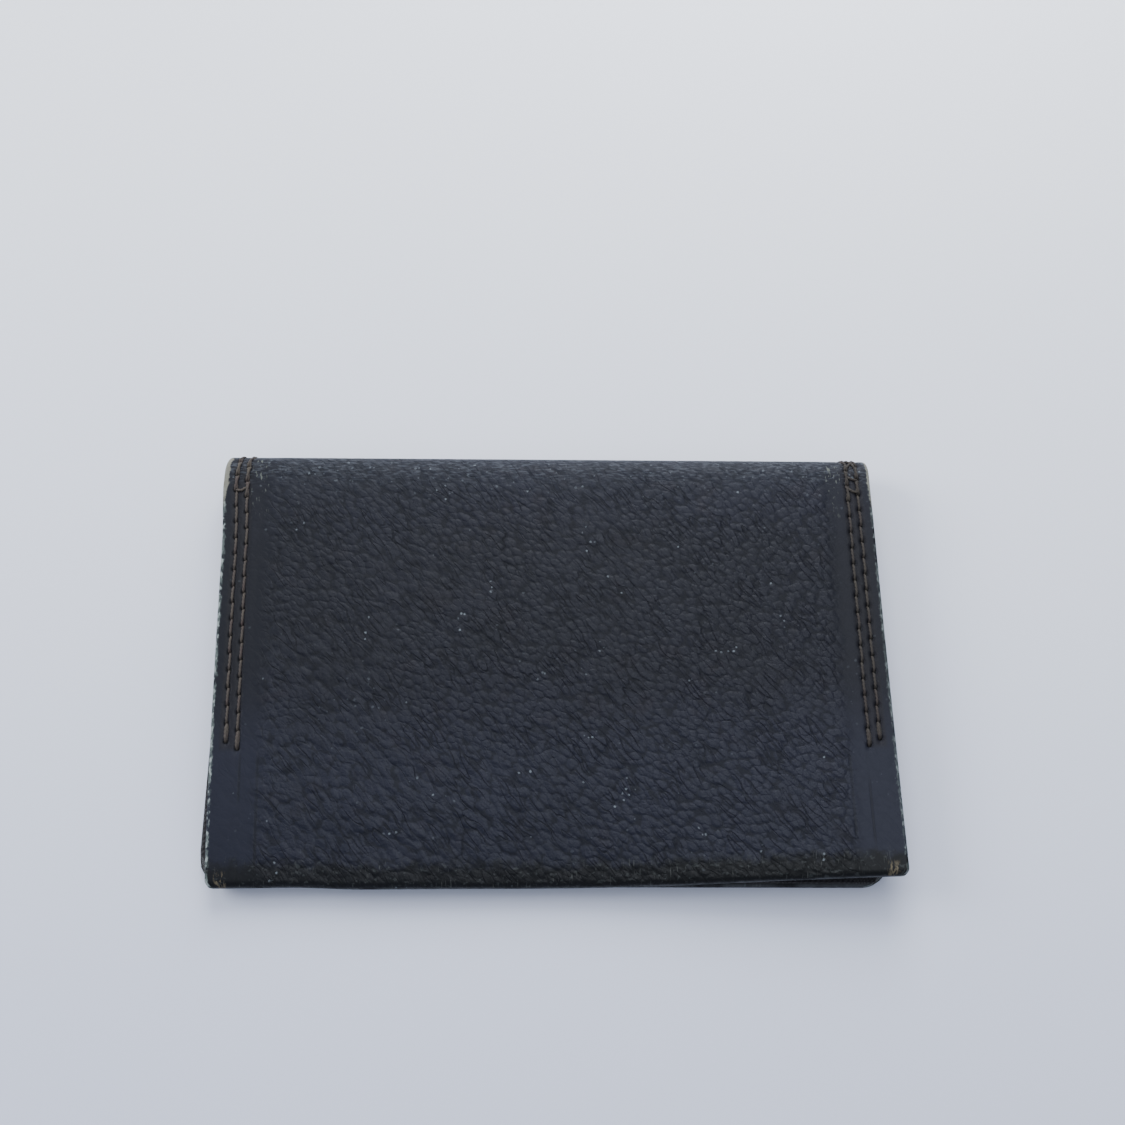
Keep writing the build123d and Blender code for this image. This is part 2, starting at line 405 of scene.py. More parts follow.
def end_cap(s, count, ends):
    """Polygons that close the section at a side: the end, then each inner span with those over it."""
    first_inner = count + 1 + ends
    inner = list(range(first_inner, len(s)))
    faces = [list(range(count, first_inner + 1))]
    place_out = count
    for a, b in zip(inner[:-1], inner[1:]):
        over = [i for i in range(place_out, -1, -1) if s[i] >= s[b] - 1e-6]
        if len(over) > 1:
            faces.append([a, b] + over[::-1])
            place_out = over[-1]
        else:
            faces.append([a, b, place_out])
    return [f for f in faces if len(set(f)) > 2]


def strand(side, path):
    """One run of twisted thread along (x, s, depth) places: its points, faces and texture places."""
    rings, sides, ring_step, twist_step = len(path), 12, 0.16, 0.83
    twist = np.arange(rings) * twist_step + path[0, 0]
    ahead = np.gradient(path, axis=0)
    ahead /= np.linalg.norm(ahead, axis=1, keepdims=True)
    beside = np.cross(ahead, (0.0, 0.0, 1.0))
    beside /= np.linalg.norm(beside, axis=1, keepdims=True)
    inward = np.cross(beside, ahead)
    angle = np.linspace(0, 2 * math.pi, sides, endpoint=False)[None, :]
    ply = 1 + 0.17 * np.cos(2 * (angle - twist[:, None]))
    across = THREAD_HALF_WIDTH * ply * np.cos(angle)
    out = THREAD_HALF_HEIGHT * ply * np.sin(angle)
    at = path[:, None, :] + across[..., None] * beside[:, None, :] + out[..., None] * inward[:, None, :]
    points = place(side, at[..., 0], at[..., 1], at[..., 2]).reshape(-1, 3)
    soiled = SOILED if path[0, 0] > 0 else 0.0
    along = np.linspace(0, rings * ring_step, rings)[:, None] + path[0, 1]
    uv = np.stack([np.broadcast_to(angle + soiled, across.shape), np.broadcast_to(along, across.shape)], -1)
    index = np.arange(rings * sides).reshape(rings, sides)
    after = np.roll(index, -1, axis=1)
    faces = np.stack([index[:-1], index[1:], after[1:], after[:-1]], -1).reshape(-1, 4).tolist()
    faces += [index[0].tolist(), index[-1, ::-1].tolist()]
    return points, faces, uv.reshape(-1, 2)


def stitch_paths(side, hand, row, face):
    """The path of each run of thread in one row on one face of one half.

    proud is how far a thread stands over the leather. The rear's outside ones are pressed in by what
    the holder lies on, which leaves little room for one thread to lie over another there.
    """
    hand_sign = -1 if hand == "left" else 1
    outside, front = face == "outside", side == "front"
    proud = (0.08 if front else -0.16) if outside else 0.12
    surface = 0.0 if outside else STACK
    sign = 1 if outside else -1
    seed = HANDS.index(hand) * 2 + ROW_NAMES.index(row)
    spare = 1.0 if front else 0.3
    paths = []
    for k in range(-1, STITCHES):
        first = (k + 0.5) * PITCH + ROW_START[row]
        jitter = 0.14 * (lattice(np.array([k + 40]), np.array([seed]), 5)[0] - 0.5)
        strands = [(jitter, 0.12, 0.0)]
        if k == STITCHES - 1:
            strands = [(jitter - 0.15, 0.1, 0.02), (jitter + 0.15, 0.1, 0.0), (jitter, 0.1, 0.15)]
        elif k < DOUBLED:
            strands = [(jitter, -0.34, 0.0), (jitter, 0.42, 0.10)]
        for offset, slant, lift in strands:
            s = np.linspace(max(first, 0.0), first + PITCH, 17)
            t = (s - first) / PITCH
            to_end = np.abs(2 * t - 1)
            middle = proud + lift * spare - THREAD_HALF_HEIGHT
            depth = surface - sign * middle + sign * HOLE_DIP * to_end**5
            wander = offset * (1 - 0.7 * to_end**2) + slant * (t - 0.5)
            paths.append(np.stack([hand_sign * (row_place(row, s) + wander), s, depth], -1))
    return paths


def crossing_paths(hand):
    """The threads that cross from row to row by the spine, each from one needle hole to another."""
    hand_sign = -1 if hand == "left" else 1
    dip, lift = 0.45, 0.10
    paths = []
    for from_s, to_s, slack in CROSSINGS[hand]:
        t = np.linspace(0, 1, 15)
        s = from_s + (to_s - from_s) * t + slack * np.sin(math.pi * t)
        x = row_place("outer", from_s) + (row_place("inner", to_s) - row_place("outer", from_s)) * t
        depth = dip * np.abs(2 * t - 1) ** 4 - lift
        paths.append(np.stack([hand_sign * x, s, depth], -1))
    return paths


def stitch_row(side, hand, row, face, material):
    """The threads of one row that show on one face of one half, as one object."""
    paths = stitch_paths(side, hand, row, face)
    if side == "front" and face == "outside" and row == "outer":
        paths += crossing_paths(hand)
    all_points, all_faces, all_uv, count = [], [], [], 0
    for path in paths:
        points, faces, uv = strand(side, path)
        all_points.append(points)
        all_faces += [[i + count for i in f] for f in faces]
        all_uv.append(uv)
        count += len(points)
    if side == "rear":
        all_faces = [f[::-1] for f in all_faces]
    return make_object(f"thread_{hand}_{row}_{side}_{face}", np.concatenate(all_points), all_faces,
                       np.concatenate(all_uv), [material], [0] * len(all_faces))


# --- materials --------------------------------------------------------------------------------
def linear(*rgb):
    """A screen colour from 0 to 255, as the shader wants it."""
    values = [c / 255 for c in rgb]
    return [c / 12.92 if c <= 0.04045 else ((c + 0.055) / 1.055) ** 2.4 for c in values] + [1.0]


class Shader:
    """A material whose textures lie on the flat sheet, in millimetres."""

    def __init__(self, name, roughness=0.5, specular=0.5, sheen=0.0):
        self.material = bpy.data.materials.new(name)
        self.material.use_nodes = True
        self.nodes = self.material.node_tree.nodes
        self.links = self.material.node_tree.links
        self.principled = self.nodes["Principled BSDF"]
        self.principled.inputs["Roughness"].default_value = roughness
        self.principled.inputs["Specular IOR Level"].default_value = specular
        self.principled.inputs["Sheen Weight"].default_value = sheen
        flat = self.nodes.new("ShaderNodeUVMap")
        flat.uv_map = "flat"
        split = self.nodes.new("ShaderNodeSeparateXYZ")
        self.links.new(flat.outputs[0], split.inputs[0])
        self.flat, self.x, self.s = flat.outputs[0], split.outputs[0], split.outputs[1]

    def feed(self, socket, value):
        if isinstance(value, bpy.types.NodeSocket):
            self.links.new(value, socket)
        else:
            socket.default_value = value

    def math(self, operation, *values):
        node = self.nodes.new("ShaderNodeMath")
        node.operation = operation
        for socket, value in zip(node.inputs, values):
            self.feed(socket, value)
        return node.outputs[0]

    def times(self, *values):
        total = values[0]
        for value in values[1:]:
            total = self.math("MULTIPLY", total, value)
        return total

    def step(self, low, high, value, to_low=0.0, to_high=1.0):
        """to_low below low, to_high above high, and smooth between."""
        node = self.nodes.new("ShaderNodeMapRange")
        node.interpolation_type = "SMOOTHSTEP"
        flip = high < low
        self.feed(node.inputs["Value"], value)
        self.feed(node.inputs["From Min"], high if flip else low)
        self.feed(node.inputs["From Max"], low if flip else high)
        self.feed(node.inputs["To Min"], to_high if flip else to_low)
        self.feed(node.inputs["To Max"], to_low if flip else to_high)
        return node.outputs[0]

    def grid(self, across, along, turn=0.0, shift=0.0, vector=None):
        """Places on the sheet measured in cells of this size in mm, turned by this many degrees."""
        node = self.nodes.new("ShaderNodeMapping")
        node.vector_type = "TEXTURE"
        self.links.new(self.flat if vector is None else vector, node.inputs["Vector"])
        node.inputs["Location"].default_value = (shift, shift * 0.37, shift * 0.11)
        node.inputs["Rotation"].default_value = (0, 0, math.radians(turn))
        node.inputs["Scale"].default_value = (across, along, 1)
        return node.outputs[0]

    def noise(self, across, along=None, detail=2.0, shift=0.0, roughness=0.5, turn=0.0, vector=None,
              output=0):
        """Noise with features of this size in mm, about 0.5."""
        node = self.nodes.new("ShaderNodeTexNoise")
        node.inputs["Scale"].default_value = 1.0
        node.inputs["Detail"].default_value = detail
        node.inputs["Roughness"].default_value = roughness
        self.links.new(self.grid(across, along or across, turn, shift, vector), node.inputs["Vector"])
        return node.outputs[output]

    def swing(self, *size, **how):
        """The same noise about 0."""
        return self.math("SUBTRACT", self.noise(*size, **how), 0.5)

    def cells(self, across, along=None, shift=0.0, output="Distance", feature="F1", turn=0.0, vector=None):
        """Scattered cells of this size in mm: how far the nearest one's middle is, or its own number."""
        node = self.nodes.new("ShaderNodeTexVoronoi")
        node.feature = feature
        node.inputs["Scale"].default_value = 1.0
        self.links.new(self.grid(across, along or across, turn, shift, vector), node.inputs["Vector"])
        return node.outputs[output]

    def strayed(self, size, amount, shift):
        """Places on the sheet, each moved by up to about half this amount in mm."""
        centred = self.nodes.new("ShaderNodeVectorMath")
        centred.operation = "SUBTRACT"
        self.links.new(self.noise(size, detail=2, shift=shift, output=1), centred.inputs[0])
        centred.inputs[1].default_value = (0.5, 0.5, 0.5)
        moved = self.nodes.new("ShaderNodeVectorMath")
        moved.operation = "MULTIPLY_ADD"
        self.links.new(centred.outputs[0], moved.inputs[0])
        moved.inputs[1].default_value = (amount, amount, 0)
        self.links.new(self.flat, moved.inputs[2])
        return moved.outputs[0]

    def mix(self, share, a, b):
        """Colour a with this share of colour b over it."""
        node = self.nodes.new("ShaderNodeMix")
        node.data_type = "RGBA"
        self.feed(node.inputs[0], share)
        self.feed(node.inputs[6], a)
        self.feed(node.inputs[7], b)
        return node.outputs[2]

    def bump(self, height, strength, distance, normal=None):
        node = self.nodes.new("ShaderNodeBump")
        node.inputs["Strength"].default_value = strength
        node.inputs["Distance"].default_value = distance * MM
        self.feed(node.inputs["Height"], height)
        if normal is not None:
            self.feed(node.inputs["Normal"], normal)
        return node.outputs[0]

    def finish(self, colour, roughness=None, normal=None):
        self.feed(self.principled.inputs["Base Color"], colour)
        if roughness is not None:
            self.feed(self.principled.inputs["Roughness"], roughness)
        if normal is not None:
            self.feed(self.principled.inputs["Normal"], normal)
        return self.material


def spots(m, spacing, size, share, shift):
    """Small scattered ragged marks, 1 inside a mark; spacing and size in mm, on this share of the places."""
    distance = m.times(m.cells(spacing, shift=shift), spacing)
    chosen = m.step(1 - share, 1 - share + 0.02, m.cells(spacing, shift=shift, output="Color"))
    ragged = m.math("ADD", distance, m.times(m.swing(size, shift=shift + 5), size))
    return m.times(chosen, m.step(size * 0.6, size * 0.3, ragged))


def leather_grain(m):
    """The outer leather's slanting grain: how deep in a crease a place is, and the height of its pads."""
    astray = m.strayed(size=4.0, amount=1.1, shift=3)
    pads = {"across": 1.40, "along": 1.00, "turn": 30, "vector": astray, "shift": 13}
    fine = m.cells(**pads)
    fine_pad = m.math("ADD", m.step(0.80, 0.28, fine), m.times(m.cells(output="Color", **pads), 0.40))
    big_pad = m.step(0.80, 0.35, m.cells(2.6, 1.7, turn=38, vector=astray, shift=17))
    wave = m.noise(7.0, 1.5, turn=50, detail=2, vector=astray, shift=23)
    fold = m.math("ABSOLUTE", m.swing(5.5, 1.3, turn=53, detail=1, vector=astray, shift=29))
    broken = m.step(0.40, 0.60, m.noise(6.0, detail=1, shift=19), 0.2, 1.0)
    crease = m.times(m.step(0.06, 0.0, fold), broken)
    near_left = m.times(m.step(26, -34, m.x), m.step(42, 60, m.s))
    coarse = m.step(0.50, 0.68, m.math("ADD", m.noise(16, detail=2, shift=31), m.times(near_left, 0.32)))
    flat = m.math("SUBTRACT", 1.0, m.times(m.step(15, 3, m.s), 0.2))
    fine_height = m.times(fine_pad, m.step(0.0, 1.0, coarse, 1.0, 0.45))
    height = m.math("ADD", fine_height, m.times(big_pad, coarse, 1.1))
    height = m.math("SUBTRACT", m.math("ADD", height, m.times(wave, 1.6)), m.times(crease, 0.6))
    lines = m.math("MAXIMUM", m.times(m.step(0.54, 0.80, fine), 0.65), m.times(crease, 0.75))
    return m.times(lines, flat), m.times(height, flat)


def leather_dye_and_painted_light(m, fine, pressed, lines):
    """Blue-black dye, smoother and darker on the pressed sides; painted sheen makes it a little lighter near
    the opening edge, and painted shade darkens the grain's creases.
    """
    colour = m.mix(m.step(0.3, 0.7, m.noise(11, detail=3, shift=3)), linear(17, 18, 28), linear(21, 22, 33))
    colour = m.mix(m.step(0.45, 0.8, fine, 0.0, 0.5), colour, linear(30, 32, 38))
    warm = m.times(m.step(0.58, 0.70, m.noise(4, detail=2, shift=31)), 0.22)
    colour = m.mix(warm, colour, linear(27, 20, 24))
    # painted sheen: the leather is lighter towards the opening edge, on the pressed sides too
    colour = m.mix(m.step(42, 58, m.s, 0.0, 0.4), colour, linear(30, 32, 42))
    pressed_tone = m.mix(m.step(40, 56, m.s), linear(14, 15, 23), linear(23, 25, 36))
    colour = m.mix(m.times(pressed, 0.7), colour, pressed_tone)
    # painted shade: the grain's creases are darkened towards black
    return m.mix(m.times(lines, 0.75), colour, linear(4, 5, 7))


def pressed_side(m, colour, gap):
    """Faint pressed lines beyond the stitches, and the soiled strip that the stitches run in."""
    below = m.step(ROW_END_S, ROW_END_S + 4, m.s)
    fold = m.step(0.30, 0.08, m.math("ABSOLUTE", m.math("SUBTRACT", gap, PRESSED_LINE)))
    limit = m.step(0.35, 0.1, m.math("ABSOLUTE", m.math("SUBTRACT", gap, BAND + 0.4)))
    broken = m.step(0.35, 0.6, m.noise(2.0, 9, detail=2, shift=47))
    faint = m.times(m.math("MAXIMUM", fold, limit), below, broken)
    colour = m.mix(m.times(faint, 0.45), colour, linear(9, 10, 13))
    sewn = m.times(m.step(4.9, 4.3, gap), m.step(1.2, 1.8, gap))
    sewn = m.times(sewn, m.step(ROW_END_S + 1.8, ROW_END_S + 0.8, m.s))
    return m.mix(m.times(sewn, 0.55), colour, linear(20, 17, 19)), faint


def spine_wear_and_sheen(m, colour, gap, grain):
    """Leather darker over the middle of the cover and on the left; by the spine, a painted sheen over grey
    wear, with rubbed and scraped places.
    """
    # the leather is darker over the middle of the cover and, from the spine on, on the left
    darker_middle_and_left = m.math("MAXIMUM", m.times(m.step(0, -40, m.x), 0.8), m.step(10, 20, m.s))
    colour = m.mix(m.times(darker_middle_and_left, m.step(54, 36, m.s), 0.45), colour, linear(8, 9, 13))
    # partly painted sheen on the spine's curve, partly grey wear: lighter within about 13 mm of the spine's
    # middle, less on the pressed sides
    greyed_and_sheen = m.times(m.step(13, 4, m.s), m.step(0, 6, m.s, 0.4, 1.0), grain)
    colour = m.mix(m.times(greyed_and_sheen, 0.25), colour, linear(40, 43, 49))
    rubbed = m.times(m.step(10, 3, m.s), m.step(0, 6, m.s, 0.25, 1.0))
    rubbed = m.times(rubbed, m.step(0.50, 0.64, m.noise(1.1, 0.30, detail=3, shift=57)))
    colour = m.mix(m.times(rubbed, 0.5), colour, linear(84, 88, 94))
    scraped = m.times(m.step(7.8, 7.0, gap), m.step(4.3, 4.8, gap), m.step(17, 6, m.s))
    scraped = m.times(scraped, m.step(0.60, 0.67, m.noise(0.35, 1.2, detail=3, shift=61)))
    return m.mix(m.times(scraped, 0.6), colour, linear(104, 108, 98))


def opening_edge_wear_and_highlight(m, colour, outside):
    """A dark worn band along the opening edge, with scratches and scuffs, and a painted highlight along its
    rounded rim.
    """
    wander = m.times(m.swing(1.9, 2.4, detail=4, roughness=0.65, shift=17), 4.5)
    worn = m.times(m.step(SHEET_END - 4.4, SHEET_END - 2.2, m.math("ADD", m.s, wander)), outside)
    colour = m.mix(m.times(worn, m.step(-30, 40, m.x, 0.88, 1.0)), colour, linear(7, 8, 9))
    near = m.times(m.step(SHEET_END - 5, SHEET_END - 2.5, m.s), outside)
    scratch = m.times(m.step(0.60, 0.68, m.noise(0.22, 2.0, detail=3, shift=23)),
                      m.step(0.46, 0.58, m.noise(3.5, 2.5, detail=2, shift=27)))
    scratched = m.times(scratch, near)
    colour = m.mix(m.times(scratched, 0.35), colour, linear(86, 88, 84))
    scuffed = m.times(near, m.step(0.60, 0.68, m.noise(0.8, 0.6, detail=3, shift=33)))
    colour = m.mix(m.times(scuffed, 0.25), colour, linear(72, 76, 74))
    # painted highlight: a patchy pale line along the rounded rim of the opening edge
    rim = m.times(m.step(SHEET_END - 0.1, SHEET_END + 0.4, m.s),
                  m.step(SHEET_END + 1.4, SHEET_END + 1.0, m.s))
    patchy = m.step(0.30, 0.55, m.noise(6, detail=3, shift=39))
    return m.mix(m.times(rim, patchy, 0.5), colour, linear(84, 86, 88)), scratched


def chalky_specks(m, colour, grain):
    """Fine pale specks, thick by the spine and in dusty places, and rarer bright ones all over."""
    dusty = m.step(0.52, 0.70, m.noise(8, detail=2, shift=41))
    scatter = m.math("ADD", m.times(m.step(16, 0, m.s), 0.95), m.times(dusty, 0.35))
    specks = m.math("MAXIMUM", spots(m, spacing=1.1, size=0.46, share=0.24, shift=51),
                    spots(m, spacing=0.62, size=0.30, share=0.22, shift=67))
    share = m.times(specks, m.math("MINIMUM", scatter, 1.0), 0.55)
    colour = m.mix(share, colour, linear(104, 110, 114))
    clustered = m.times(spots(m, spacing=0.9, size=0.42, share=0.5, shift=87),
                        m.step(0.64, 0.70, m.noise(5, detail=1, shift=89)))
    rare = m.math("MAXIMUM", spots(m, spacing=3.6, size=0.30, share=0.22, shift=83), clustered)
    return m.mix(m.times(rare, grain, 0.6), colour, linear(112, 119, 122))


def side_edge_wear(m, colour, gap, outside, fibre_share):
    """Edge paint worn to pale patches, most on the left, bare leather by the spine and corner fibres."""
    ragged = m.math("ADD", gap, m.swing(0.5, 0.8, detail=3, shift=91))
    by_hand = m.step(-1, 1, m.x, 1.0, 0.5)
    painted = m.times(m.step(0.62, 0.38, ragged), by_hand)
    patchy = m.step(0.40, 0.55, m.noise(2.0, 2.3, detail=4, roughness=0.65, shift=97))
    colour = m.mix(m.times(painted, patchy, 0.75), colour, linear(84, 92, 88))
    bright = m.times(m.step(0.48, 0.26, ragged), m.step(0.48, 0.58, m.noise(0.7, 1.2, detail=3, shift=101)))
    colour = m.mix(m.times(bright, by_hand, 0.85), colour, linear(140, 147, 143))
    bare_width = m.times(m.step(13, 8, m.s, 0.35, 0.85), m.step(-1, 1, m.x, 1.0, 0.55))
    bare = m.times(m.step(13.5, 10, m.s), m.step(0.12, -0.12, m.math("SUBTRACT", ragged, bare_width)))
    bare_tone = m.mix(m.noise(1.5, 2.0, detail=3, shift=103), linear(84, 74, 58), linear(142, 144, 132))
    colour = m.mix(m.times(bare, 0.9), colour, bare_tone)
    corner = m.times(m.step(3.4, 2.7, ragged), m.step(1.1, 1.8, ragged), outside)
    corner = m.times(corner, m.step(SHEET_END - 2.6, SHEET_END - 1.2, m.s))
    fibres = m.step(0.45, 0.60, m.noise(0.35, 0.9, detail=3, shift=111))
    return m.mix(m.times(corner, fibres, fibre_share), colour, linear(98, 89, 70))


def worn_leather(name, fibre_share):
    """Black pebbled leather: pressed sides, a scuffed opening edge, chalky specks and worn cut edges.

    fibre_share is how far the opening edge's corners are worn to brown fibres.
    """
    m = Shader(name, specular=0.12)
    gap = m.math("SUBTRACT", HALF, m.math("ABSOLUTE", m.x))
    outside = m.step(SHEET_END + 3.5, SHEET_END + 2.5, m.s)
    band_edge = m.times(m.swing(4.0, detail=2, shift=43), 2.2)
    pressed = m.step(BAND + 2.0, BAND - 1.0, m.math("ADD", gap, band_edge))
    grain = m.math("SUBTRACT", 1.0, m.times(pressed, 0.86))
    lines, pads = leather_grain(m)
    lines = m.times(lines, grain)
    fine = m.noise(0.38, detail=3, shift=9, roughness=0.6)

    colour = leather_dye_and_painted_light(m, fine, pressed, lines)
    colour, faint = pressed_side(m, colour, gap)
    colour = spine_wear_and_sheen(m, colour, gap, grain)
    colour, scratched = opening_edge_wear_and_highlight(m, colour, outside)
    colour = chalky_specks(m, colour, grain)
    colour = side_edge_wear(m, colour, gap, outside, fibre_share)
    # painted shade: the needle holes are painted near black
    beside = m.math("MINIMUM", row_distance(m, "outer"), row_distance(m, "inner"))
    colour = m.mix(m.times(m.step(0.50, 0.30, beside), 0.9), colour, linear(4, 4, 5))

    roughness = m.math("ADD", m.math("ADD", 0.47, m.times(lines, 0.2)), m.times(pressed, 0.06))
    fine_height = m.times(fine, m.math("ADD", m.times(grain, 0.05), 0.02))
    height = m.math("ADD", m.times(pads, grain, 0.115), fine_height)
    height = m.math("SUBTRACT", height, m.times(m.math("ADD", scratched, faint), 0.03))
    return m.finish(colour, roughness, m.bump(height, 1.0, 1.0))


def row_distance(m, row):
    """How far the nearest needle hole of the rows of this name is; past the row's end, 5 mm more."""
    pitches = m.math("DIVIDE", m.math("SUBTRACT", m.s, ROW_START[row]), PITCH)
    along = m.times(m.math("SUBTRACT", m.math("FRACT", pitches), 0.5), PITCH)
    row_x = m.math("SUBTRACT", ROWS[row], m.times(m.s, ROW_LEAN[row]))
    across = m.math("SUBTRACT", m.math("ABSOLUTE", m.x), row_x)
    squares = m.math("ADD", m.math("POWER", along, 2.0), m.math("POWER", across, 2.0))
    past_end = m.math("SUBTRACT", m.s, ROW_END_S + ROW_START[row])
    return m.math("ADD", m.math("SQRT", squares), m.step(0.2, 0.4, past_end, 0.0, 5.0))


def cut_edge(name, core, paint, shift):
    """The cut edge of leather: fibres, with what is left of the edge paint."""
    m = Shader(name, roughness=0.75, specular=0.2)
    fibre = m.noise(0.8, 0.3, detail=4, shift=shift, roughness=0.65)
    left = m.step(0.40, 0.60, m.noise(2, 4.5, detail=3, shift=shift + 7))
    bare = m.math("MAXIMUM", m.step(9, 5, m.s), m.math("SUBTRACT", 1.0, left))
    colour = m.mix(m.times(bare, m.step(0.3, 0.7, fibre, 0.45, 1.0)), paint, core)
    return m.finish(colour, None, m.bump(fibre, 0.6, 0.15))


def flesh_side(name, colour_low, colour_high):
    """The back of a leather, matt and fibrous."""
    m = Shader(name, roughness=0.85, specular=0.15, sheen=0.1)
    fibre = m.noise(0.6, 0.75, detail=4, roughness=0.65)
    return m.finish(m.mix(fibre, colour_low, colour_high), None, m.bump(fibre, 0.5, 0.12))


def pocket_leather(name):
    """Smooth black inner leather with a fine printed grain and a creased line along the mouth."""
    m = Shader(name, specular=0.2)
    fine = m.cells(0.5, 0.62, shift=5, feature="DISTANCE_TO_EDGE")
    soft = m.noise(7, detail=3, shift=13)
    colour = m.mix(soft, linear(17, 18, 22), linear(26, 27, 33))
    colour = m.mix(m.step(0.10, 0.0, fine, 0.0, 0.5), colour, linear(10, 10, 13))
    crease = m.math("ABSOLUTE", m.math("SUBTRACT", m.s, MOUTH_S - 1.6))
    line = m.step(0.34, 0.10, crease)
    colour = m.mix(m.times(line, 0.6), colour, linear(8, 8, 10))
    scuff = m.times(m.step(0.60, 0.70, m.noise(1.1, 8, detail=2, shift=29)), 0.15)
    colour = m.mix(scuff, colour, linear(58, 59, 64))
    rubbed = m.times(m.step(MOUTH_S - 0.7, MOUTH_S - 0.1, m.s), m.step(0.4, 0.6, m.noise(1.4, shift=37)))
    colour = m.mix(m.times(rubbed, 0.5), colour, linear(68, 66, 64))
    roughness = m.step(0.3, 0.7, soft, 0.40, 0.52)
    normal = m.bump(m.step(0.0, 0.12, fine), 0.35, 0.08)
    normal = m.bump(m.math("SUBTRACT", 1.0, line), 0.8, 0.15, normal)
    return m.finish(colour, roughness, normal)


def lining_cloth(name):
    """Charcoal plain weave."""
    m = Shader(name, roughness=0.85, specular=0.2, sheen=0.25)
    thread_spacing = 0.42
    turn = math.pi / thread_spacing
    warp = m.math("SINE", m.math("MULTIPLY", m.x, turn))
    weft = m.math("SINE", m.math("MULTIPLY", m.s, turn))
    weave = m.times(warp, weft)
    slub = m.noise(2.8, 0.45, detail=3, shift=3)
    colour = m.mix(m.step(-1.0, 1.0, weave), linear(22, 21, 23), linear(38, 36, 38))
    colour = m.mix(m.step(0.45, 0.75, slub, 0.0, 0.5), colour, linear(48, 45, 46))
    soil = m.step(0.45, 0.75, m.noise(12, detail=3, shift=19), 0.0, 0.4)
    colour = m.mix(soil, colour, linear(30, 27, 27))
    normal = m.bump(weave, 0.7, 0.09)
    normal = m.bump(slub, 0.4, 0.08, normal)
    return m.finish(colour, None, normal)


def thread_yarn(name):
    """Taupe twisted thread, dulled with handling."""
    m = Shader(name, roughness=0.7, specular=0.15, sheen=0.05)
    fibre = m.noise(0.4, 0.11, detail=3, shift=3)
    tone = m.noise(50, 2.9, detail=3, shift=11)
    colour = m.mix(fibre, linear(44, 38, 34), linear(80, 72, 64))
    colour = m.mix(m.step(0.5, 0.75, tone, 0.0, 0.7), colour, linear(76, 69, 58))
    colour = m.mix(m.step(0.5, 0.3, tone, 0.0, 0.5), colour, linear(64, 50, 48))
    soiled = m.step(0.5 * SOILED, 0.6 * SOILED, m.x)
    colour = m.mix(m.times(soiled, 0.5), colour, linear(34, 32, 28))
    return m.finish(colour, None, m.bump(fibre, 0.6, 0.06))


def pale_cloth(name):
    """The pale surface that the holder lies on, with painted light: lighter towards the far side and a
    little towards the right, darker and bluer towards the near side.
    """
    m = Shader(name, roughness=0.9, specular=0.15)
    # painted light: lighter towards the far side, darker and bluer towards the near side
    tone = m.math("ADD", m.s, m.times(m.x, 0.12))
    tone = m.math("ADD", tone, m.times(m.noise(80, detail=2, shift=3), 14.0))
    colour = m.mix(m.step(-130, 170, tone), linear(203, 207, 222), linear(250, 251, 254))
    return m.finish(colour)


# --- the holder --------------------------------------------------------------------------------
FLESH = flesh_side("outer_leather_inner_side", linear(30, 29, 30), linear(52, 50, 49))
EDGE = cut_edge("outer_leather_cut_edge", linear(104, 106, 98), linear(24, 27, 29), 3)
OUTER = {"front": [worn_leather("worn_outer_leather_front", 0.8), FLESH, EDGE],
         "rear": [worn_leather("worn_outer_leather_rear", 0.1), FLESH, EDGE]}
LINING = [lining_cloth(f"lining_{face}") for face in ("weave", "back", "edge")]
POCKET = [pocket_leather("pocket_leather"),
          flesh_side("pocket_inner_side", linear(46, 42, 40), linear(78, 72, 66)),
          cut_edge("pocket_cut_edge", linear(70, 64, 58), linear(30, 30, 33), 23)]
THREAD = thread_yarn("stitching_thread")


def bend_over(thing, side):
    """Bakes the half's transform into its mesh; the half is not bent."""
    if side == "front":
        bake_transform(thing)
    else:
        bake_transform(thing)


def stands_for(side, part):
    """The CAD nodes that this half takes the place of; the rear half also takes the spine's."""
    names = [f"{side}_{part}"] + ([f"spine_{part}"] if side == "rear" else [])
    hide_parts(*names)


def outer_leather(side):
    """The outer leather: turned in at the front's opening edge, and cut with round corners at the rear's."""
    front = side == "front"
    thing = sheet_half(
        f"outer_leather_{side}", side, top=0.0, thick=COVER, near=SHEET_END, half=HALF,
        spacing=0.34 if front else 0.6, side_spacing=0.22 if front else 0.4,
        edge=TURNED / 2 if front else EDGE_ROUND, near_corner=SQUARE_CORNER if front else ROUND_CORNER,
        materials=OUTER[side], relief=leather_relief, turned=TURNED if front else None, turn_s=TURN_S)
    bend_over(thing, side)
    stands_for(side, "cover_leather")


def lining(side):
    """Cloth glued to the cover, up to the turned-in leather in front and close to the rear's edge."""
    near = TURN_S - INSET if side == "front" else SHEET_END - 0.5
    half = HALF - INSET
    thing = sheet_half(
        f"lining_{side}", side, top=COVER, thick=LINED - COVER, near=near, half=half,
        spacing=1.0, side_spacing=1.0, edge=0.1, near_corner=ROUND_CORNER, materials=LINING, shown="inner")
    bend_over(thing, side)
    stands_for(side, "lining")


def pocket_swell(x, s):
    """The pocket leather stands a little off the lining between its sewn sides, most at the mouth."""
    across_share = step(HALF - 5.5, HALF - 13, np.abs(x))
    along_share = step(QUARTER + 2, MOUTH_S - 4, s)
    return 0.40 * across_share * along_share


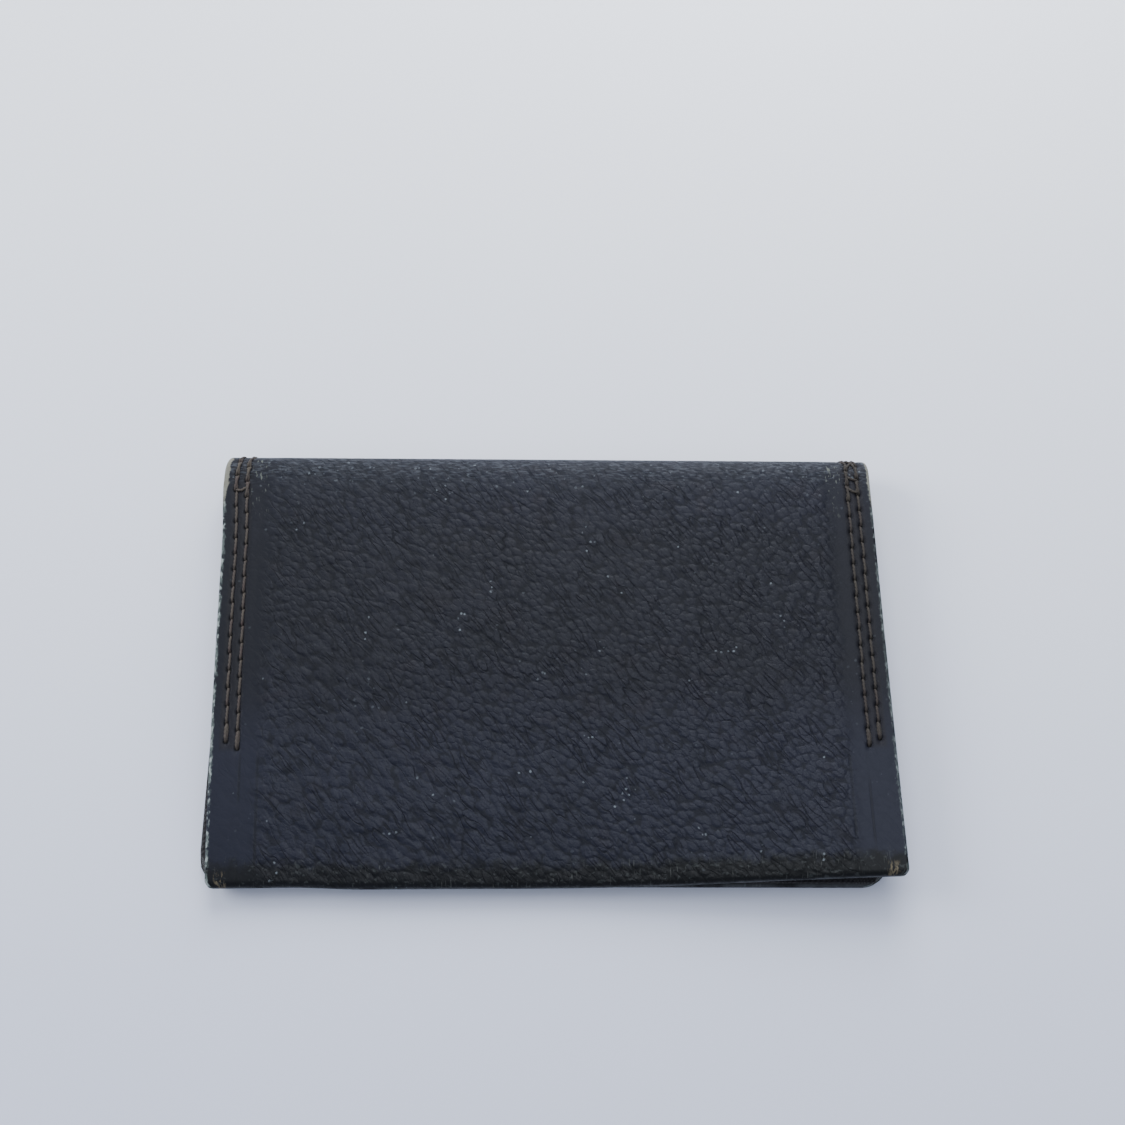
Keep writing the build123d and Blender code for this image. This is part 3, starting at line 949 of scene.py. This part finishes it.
def pocket(side):
    """The pocket leather, from the spine to the pocket's mouth."""
    thing = sheet_half(
        f"pocket_leather_{side}", side, top=LINED, thick=PANEL, near=MOUTH_S, half=HALF - 2 * INSET,
        spacing=0.7, side_spacing=0.5, edge=0.3, near_corner=0.5, materials=POCKET, shown="inner",
        rise=pocket_swell)
    bend_over(thing, side)
    stands_for(side, "pocket_panel")


def stitches(side):
    """Both faces of the four rows of stitches on one half."""
    for hand in HANDS:
        for row in ROW_NAMES:
            outside = stitch_row(side, hand, row, "outside", THREAD)
            bend_over(outside, side)
            stands_for(side, f"stitches_{hand}_{row}")
            inside = stitch_row(side, hand, row, "inside", THREAD)
            bend_over(inside, side)


for cover_side in ("rear", "front"):
    outer_leather(cover_side)
    lining(cover_side)
    pocket(cover_side)
    stitches(cover_side)


# --- floor, light and camera ----------------------------------------------------------------------
def floor():
    """A plain pale surface, just under the holder."""
    size, clearance = 1500.0, 0.02
    z = LOW[2] - clearance
    corners = np.array([(-size, -size, z), (size, -size, z), (size, size, z), (-size, size, z)])
    thing = make_object("floor", corners, [[0, 1, 2, 3]], corners[:, :2], [pale_cloth("pale_floor")], [0])


def soft_light(name, place_mm, aim_mm, size, power, colour):
    """A round area light at place_mm that faces aim_mm; size is its width in mm, power is in watts."""
    data = bpy.data.lights.new(name, "AREA")
    data.shape = "DISK"
    data.size = size * MM
    data.energy = power
    data.color = colour
    thing = bpy.data.objects.new(name, data)
    bpy.context.scene.collection.objects.link(thing)
    thing.location = Vector(place_mm) * MM
    thing.rotation_euler = (Vector(aim_mm) - Vector(place_mm)).to_track_quat("-Z", "Y").to_euler()
    return thing


def surroundings():
    """An even, slightly blue light from all round."""
    world = bpy.data.worlds.new("soft_surroundings")
    bpy.context.scene.world = world
    world.use_nodes = True
    background = world.node_tree.nodes["Background"]
    background.inputs["Color"].default_value = (0.76, 0.83, 1.0, 1)
    background.inputs["Strength"].default_value = 0.92


def camera():
    """A camera high up in front of the opening edge, looking down on the holder."""
    target, distance = Vector((2.3, 17.3, 4.0)), 282.6
    heading, down, roll = math.radians(2.05), math.radians(66.1), math.radians(2.25)
    ahead = Vector((math.sin(heading) * math.cos(down), math.cos(heading) * math.cos(down), -math.sin(down)))
    data = bpy.data.cameras.new("camera")
    data.sensor_width = 36
    data.lens = 55.8
    data.clip_start = 0.01
    thing = bpy.data.objects.new("camera", data)
    bpy.context.scene.collection.objects.link(thing)
    thing.location = (target - ahead * distance) * MM
    turn = ahead.to_track_quat("-Z", "Y").to_matrix() @ Matrix.Rotation(roll, 3, "Z")
    thing.rotation_euler = turn.to_euler()
    bpy.context.scene.camera = thing


floor()
surroundings()
DAYLIGHT = (0.90, 0.94, 1.0)
HOLDER = (0, 20, 0)       # where the lights are aimed
soft_light("window_behind", (0, 900, 760), HOLDER, size=800, power=13.5, colour=DAYLIGHT)
soft_light("window_left", (-620, 150, 420), HOLDER, size=420, power=4.5, colour=DAYLIGHT)
soft_light("window_low", (60, 240, 90), (40, 120, 0), size=120, power=0.25, colour=(0.92, 0.95, 1.0))
ceiling = soft_light("ceiling_sheen", (190, 100, 900), HOLDER, size=500, power=6.5, colour=DAYLIGHT)
ceiling.visible_diffuse = False    # it only adds a sheen to the leather
camera()
